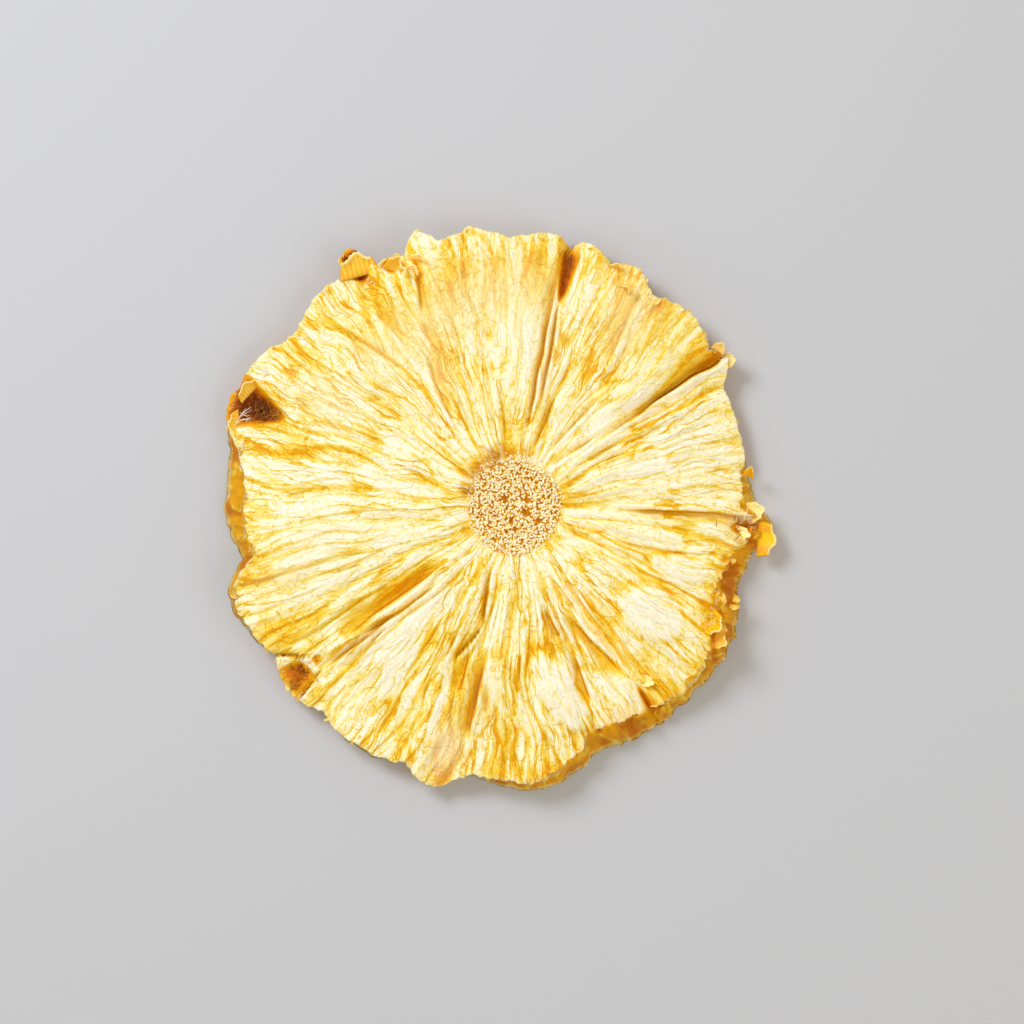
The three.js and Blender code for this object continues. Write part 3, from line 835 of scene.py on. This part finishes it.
bpy.ops.object.select_all(action="DESELECT")
bpy.ops.mesh.primitive_uv_sphere_add(segments=8, ring_count=5, radius=0.5)
bristle = bpy.context.object
bristle.name = "core_bristles"
bpy.ops.object.mode_set(mode="EDIT")
bpy.ops.transform.vertex_random(offset=0.09, seed=3)
bpy.ops.object.mode_set(mode="OBJECT")
for v in bristle.data.vertices:
    v.co.x += BRISTLE_BEND * v.co.z ** 2
keep_on_points(bristle, "tip", [v.co.z + 0.5 for v in bristle.data.vertices])


def copy_all(first, placings):
    """Copies a piece to each place with its pale value, joins the copies and removes the first one."""
    copies = []
    for matrix, pale in placings:
        copy = first.copy()
        copy.data = first.data.copy()
        bpy.context.collection.objects.link(copy)
        copy.data.transform(Matrix.Scale(MM, 4) @ matrix)
        lowest = min(v.co.z for v in copy.data.vertices)
        if lowest < TABLE_GAP:
            copy.data.transform(Matrix.Translation((0, 0, TABLE_GAP - lowest)))
        if matrix.determinant() < 0:
            copy.data.flip_normals()
        keep_on_points(copy, "pale", np.full(len(copy.data.vertices), pale))
        copies.append(copy)
    name = first.name
    bpy.data.objects.remove(first)
    bpy.ops.object.select_all(action="DESELECT")
    for copy in copies:
        copy.select_set(True)
    bpy.context.view_layer.objects.active = copies[0]
    bpy.ops.object.join()
    joined = bpy.context.object
    joined.name = name
    bpy.ops.object.shade_smooth()
    return joined


placings = []
for face in (1, -1):
    for i in range(BRISTLE_PLACES):
        out, round_to = DISC_RADIUS * np.sqrt((i + 0.5) / BRISTLE_PLACES), i * GOLDEN_ANGLE
        x = out * np.cos(round_to) / CORE_STRETCH + rng.normal(0, 0.13)
        y = out * np.sin(round_to) * CORE_STRETCH + rng.normal(0, 0.13) + DISC_Y
        lean_x, lean_y = rng.normal(0, 0.45), rng.normal(0, 0.45)
        spin, wide, long, pale = rng.uniform(0, 1, 4)
        if face == 1 and any(np.hypot(x - gap_x, y - gap_y) < gap for gap_x, gap_y, gap in GAPS):
            continue
        if face == 1:
            tip_z = CORE_TOP + 0.2 + 0.3 * ease((out - 5.5) / 2) + 0.5 * (long - 0.6)
        else:
            tip_z = CORE_TOP - CORE_THICK + 0.4 * long
        size = (BRISTLE_WIDTH * (0.7 + 0.7 * wide), BRISTLE_WIDTH, BRISTLE_REACH * face)
        turned = Euler((lean_x, lean_y, spin * 2 * np.pi))
        middle = (CORE_X + x, CORE_Y + y, tip_z - face * BRISTLE_REACH / 2)
        placings.append((Matrix.LocRotScale(middle, turned, size), pale))
bristles = copy_all(bristle, placings)

paint = Paint("core_bristles")
# Darker towards the foot: partly the fibres' own tone, partly painted shade between the bristles.
height = paint.measure("tip") + (paint.measure("pale") - 0.5) * 0.3
colour = paint.colours([(0.25, ORANGE), (0.5, GOLD), (0.68, TAN), (0.85, BONE)], height)
paint.give("Base Color", colour)
paint.give("Roughness", 0.65)
paint.soften(0.3, 0.4)
# Painted glow in the bristles' own colour, warmed.
paint.paint_glow(colour, 0.09)
bristles.data.materials.append(paint.material)
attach(bristles, "root")

# ---- Curled skin at the rim ----
# Where the peel was cut away the flesh dried to a thin golden skin that tore and curled: ribbed fans, most of
# them at the eyes, scraps down the right side, and small frills all round. A flap is made and copied.
FANS = [  # radius, degrees, lift, direction it points in, tilt, curl, width, length, how pale
    (43.8, 123.6, -0.2, 106, 5, 0.35, 6.4, 4.8, 0.1),
    (42.0, 117.4, -0.6, 62, 25, 0.6, 3.0, 4.4, 0.1),
    (41.2, 115.2, -0.2, 30, 50, 0.9, 2.2, 2.8, 0.6),
    (40.6, 113.4, 0.2, 60, 40, 0.8, 2.4, 2.8, 0.9),
    (41.8, 111.4, 0.3, 70, 40, 0.8, 3.0, 2.8, 0.8),
    (45.4, 163.2, -1.0, 190, 20, 0.5, 4.6, 2.8, 0.15),
    (45.4, 156.4, -1.0, 135, 20, 0.5, 4.6, 2.8, 0.15),
    (37.2, 358.4, -0.5, 20, 15, 0.4, 3.4, 3.6, 0.9),
    (35.4, 353.4, -1.0, 350, 15, 0.3, 2.4, 3.2, 1.0),
    (37.4, 7.4, 0.0, 75, 20, 0.9, 1.7, 2.8, 0.0),
    (35.4, 329.5, -0.4, 330, 15, 0.8, 4.4, 3.8, 0.0),
    (37.8, 326.5, -0.4, 340, 20, 0.6, 3.0, 3.4, 0.2),
    (34.2, 306.6, -0.6, 345, 15, 0.5, 2.0, 2.6, 0.9),
    (40.6, 37.5, 0.0, 60, 20, 0.8, 2.2, 2.4, 0.5),
    (41.0, 34.4, -0.4, 10, 20, 0.7, 2.4, 2.0, 0.9),
    (41.0, 66.8, 0.2, 75, 40, 0.8, 2.6, 2.2, 0.2),
    (38.6, 62.8, 0.2, 50, 50, 0.9, 2.2, 3.0, 0.2),
]
FRILLS_ROUND = 70
SCRAPS = 15
SCRAPS_FROM, SCRAPS_TO = 326, 350  # degrees
FLAP_BEND = 1.3  # how far a flap curls up from root to edge, in radians
FLAP_THICK = 0.07  # as a share of its length


def make_flap(name, columns, rows, ribs, taper):
    """A thin flap that grows along Y from its root, 1 wide and 1 long, ribbed, cupped and curling up."""
    bpy.ops.object.select_all(action="DESELECT")
    bpy.ops.mesh.primitive_grid_add(x_subdivisions=columns, y_subdivisions=rows, size=1)
    flap = bpy.context.object
    flap.name = name
    for v in flap.data.vertices:
        across, out = v.co.x * 2, v.co.y + 0.5
        rib = np.cos(across * ribs * np.pi)
        length = 1 - 0.3 * across ** 2 + 0.03 * rib * out + 0.06 * np.sin(5 * across + 1)
        v.co.x = 0.5 * across * (1 - taper * out) + 0.03 * np.sin(7 * across) * out
        v.co.y = length * np.sin(FLAP_BEND * out) / FLAP_BEND
        v.co.z = length * (1 - np.cos(FLAP_BEND * out)) / FLAP_BEND + 0.03 * rib * out + 0.2 * across ** 2
    keep_on_points(flap, "rib", [np.cos(v.co.x * 2 * ribs * np.pi) for v in flap.data.vertices])
    keep_on_points(flap, "out", [i // (columns + 1) / rows for i in range(len(flap.data.vertices))])
    thick = flap.modifiers.new("thickness", "SOLIDIFY")
    thick.thickness, thick.offset = FLAP_THICK, 0
    bpy.ops.object.modifier_apply(modifier=thick.name)
    return flap


def on_slice(out, at, lift, heading, tilt, spin, size, face=upper_height):
    """A matrix that puts a piece on the slice at this radius and angle, pointing along a heading."""
    top = face(np.array([float(out)]), np.array([float(at)]))[0]
    place = (CORE_X + out * np.cos(np.radians(at)), CORE_Y + out * np.sin(np.radians(at)), top + lift)
    return Matrix.LocRotScale(place, Euler(np.radians((tilt, spin, heading - 90))), size)


placings = [(on_slice(out, at, lift, heading, tilt, 0, (wide, long, long * curl), smooth_top), pale)
            for out, at, lift, heading, tilt, curl, wide, long, pale in FANS]
fans = copy_all(make_flap("curled_fans", 54, 10, 8, 0.35), placings)

placings = [(on_slice(39.0, 352.6, -1.0, 355, 0, 0, (5.6, 3.6, 1.4), smooth_top), 0)]  # at the right eye
for i in range(FRILLS_ROUND):
    at = (i + rng.uniform(0, 1)) / FRILLS_ROUND * 360
    out = upper_lip(np.array([at]))[0] - rng.uniform(0.3, 1.0)
    long = rng.uniform(0.5, 1.1)
    size = (rng.uniform(1.0, 2.2), long, long * 0.4)
    heading, tilt, spin = at + rng.normal(0, 45), rng.uniform(-20, 20), rng.normal(0, 20)
    placings.append((on_slice(out, at, -0.25, heading, tilt, spin, size), rng.uniform(0, 0.8)))
for _ in range(SCRAPS):
    at = rng.uniform(SCRAPS_FROM, SCRAPS_TO)
    out = rng.uniform(34.5, outline(np.array([at]))[0] - 0.6)
    long = rng.uniform(0.8, 1.6)
    size = (rng.uniform(0.9, 2.2), long, long * 0.6)
    lift, heading, tilt = rng.uniform(-0.6, 0), rng.uniform(0, 360), rng.uniform(-10, 30)
    placings.append((on_slice(out, at, lift, heading, tilt, rng.normal(0, 20), size), rng.uniform(0, 0.35)))
frills = copy_all(make_flap("rim_frills", 8, 5, 1.5, 0.2), placings)

paint = Paint("golden_skin")
pale, rib, out = paint.measure("pale"), paint.measure("rib"), paint.measure("out")
# Darker in the grooves between ribs: painted shade.
skin = paint.blend(paint.ramp(rib, -1.0, 0.3), AMBER, GOLD)
skin = paint.blend(pale, skin, paint.blend(paint.ramp(rib, -1.0, 0.3), STRAW, CREAM))
skin = paint.blend(paint.ramp(out, 0.82, 1.0) * (0.6 + pale * 0.4), skin, CREAM)
# Orange towards the root, where the flap meets the flesh: painted shade.
skin = paint.blend(paint.ramp(out, 0.0, 0.35, 0.35, 0.0), skin, ORANGE)
paint.give("Base Color", skin)
paint.give("Roughness", 0.4)
paint.give("Specular IOR Level", 0.3)
paint.soften(0.15, 0.4)
# Painted glow in the skin's own colour, warmed.
paint.paint_glow(skin, 0.2)
for piece in (fans, frills):
    piece.data.materials.append(paint.material)
    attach(piece, "root")

# ---- Hairs and frayed fibres ----
# Dry fibres: the tangle of brown hairs in the left eye, the spines of the right one, and short pale threads
# that stick out of the torn rim. One hair is made from a ball, drawn out and bent, and copied.
TUFTS = [  # how many, radius, degrees, spread, heading, spread of it, length, how pale
    (60, 42.6, 159.5, 1.5, 160, 60, 3.0, 0.0),
    (26, 40.4, 158.8, 0.9, 120, 50, 2.6, 0.25),
    (10, 45.6, 161.5, 1.0, 215, 25, 3.4, 0.9),
    (14, 45.0, 151.4, 0.6, 120, 60, 0.8, 1.0),
    (16, 44.0, 167.4, 0.8, 250, 60, 0.8, 1.0),
    (8, 42.2, 122.6, 0.8, 170, 70, 0.7, 0.8),
    (26, 36.2, 354.6, 1.6, 20, 60, 2.2, 0.1),
    (12, 39.4, 355.4, 1.4, 0, 60, 1.8, 0.6),
    (12, 37.4, 357.5, 1.0, 60, 60, 1.8, 1.0),
    (14, 41.0, 35.0, 1.0, 20, 50, 1.2, 0.9),
    (10, 45.0, 219.0, 0.6, 220, 30, 1.2, 0.1),
    (26, 43.0, 217.8, 1.5, 220, 70, 1.6, 0.1),
    (10, 43.4, 254.0, 1.0, 250, 60, 0.8, 0.9),
    (8, 39.4, 304.4, 0.6, 305, 20, 1.6, 0.1),
    (40, 8.3, 112, 1.6, 112, 25, 1.4, 0.42),
    (24, 8.2, 140, 1.2, 140, 25, 1.2, 0.42),
    (14, 8.0, 160, 0.5, 165, 30, 1.2, 0.25),
    (12, 40.6, 77.5, 0.9, 80, 30, 2.4, 0.1),
]
FRAYS = 320
HAIR_WIDTH = 0.11
HAIR_BEND = 0.7
bpy.ops.object.select_all(action="DESELECT")
bpy.ops.mesh.primitive_uv_sphere_add(segments=5, ring_count=8, radius=0.5)
hair = bpy.context.object
hair.name = "hairs"
for v in hair.data.vertices:
    along = v.co.z
    v.co = (v.co.x * HAIR_WIDTH + HAIR_BEND * along * along, along, v.co.y * HAIR_WIDTH)
hair.data.flip_normals()
placings = []
for count, out, at, spread, heading, turn_spread, long, pale in TUFTS:
    for _ in range(count):
        out_i, at_i = out + rng.normal(0, spread * 0.6), at + np.degrees(rng.normal(0, spread * 0.6) / out)
        length = long * rng.uniform(0.5, 1.1)
        size = (1.1 * rng.choice((-1, 1)), length, 1.1)
        lift, turned = rng.uniform(0, 0.6), heading + rng.normal(0, turn_spread)
        tilt, spin = rng.normal(10, 25), rng.uniform(0, 360)
        place = on_slice(out_i, at_i, lift, turned, tilt, spin, size)
        placings.append((place, pale + rng.uniform(-0.15, 0.15)))
for _ in range(FRAYS):
    at = rng.uniform(0, 360)
    out = upper_lip(np.array([at]))[0] + rng.uniform(-0.6, 0.3)
    heading, tilt, spin = at + rng.normal(0, 50), rng.normal(0, 25), rng.uniform(0, 360)
    size = (0.8, rng.uniform(0.3, 0.8), 0.8)
    placings.append((on_slice(out - 0.3, at, 0.1, heading, tilt, spin, size), rng.uniform(0.6, 1)))
hairs = copy_all(hair, placings)

paint = Paint("dry_fibre")
colour = paint.colours([(0.0, BROWN), (0.35, AMBER), (0.7, CREAM), (1.0, IVORY)], paint.measure("pale"))
paint.give("Base Color", colour)
paint.give("Roughness", 0.5)
hairs.data.materials.append(paint.material)
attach(hairs, "root")

# ---- Table, light and camera ----
# A plain pale table under the slice, a soft window light from the upper left with a larger, weaker one
# opposite, and a camera straight above. Sizes here are in metres.
bpy.ops.object.select_all(action="DESELECT")
bpy.ops.mesh.primitive_plane_add(size=3)
table = bpy.context.object
table.name = "table"
paint = Paint("table")
paint.give("Base Color", rgb(202, 207, 222))
paint.give("Roughness", 0.7)
table.data.materials.append(paint.material)


def add_window(name, place, size, watts, colour):
    """A square soft light that faces the slice."""
    bpy.ops.object.light_add(type="AREA", location=place)
    light = bpy.context.object
    light.name = name
    light.data.size = size
    light.data.energy = watts
    light.data.color = colour
    light.rotation_euler = light.location.to_track_quat("Z", "Y").to_euler()


add_window("key_window", (-0.36, 0.36, 0.48), 0.25, 2.75, (1.0, 1.0, 0.98))
add_window("fill_window", (0.5, -0.3, 0.5), 0.6, 1.3, (1.0, 0.92, 0.78))

world = bpy.data.worlds.new("room")
world.use_nodes = True
room = world.node_tree.nodes["Background"].inputs
room["Color"].default_value = (1.0, 0.91, 0.72, 1.0)
room["Strength"].default_value = 0.53
bpy.context.scene.world = world

VIEW_X, VIEW_Y = 0.002, -0.0004
VIEW_WIDTH = 0.1618  # how much the picture spans at the height of the flesh
CAMERA_HEIGHT = 0.60
bpy.ops.object.camera_add(location=(VIEW_X, VIEW_Y, CAMERA_HEIGHT), rotation=(0, 0, 0))
camera = bpy.context.object
camera.data.lens = camera.data.sensor_width * (CAMERA_HEIGHT - FLESH_TOP * MM) / VIEW_WIDTH
bpy.context.scene.camera = camera
bpy.context.scene.view_settings.view_transform = "Standard"
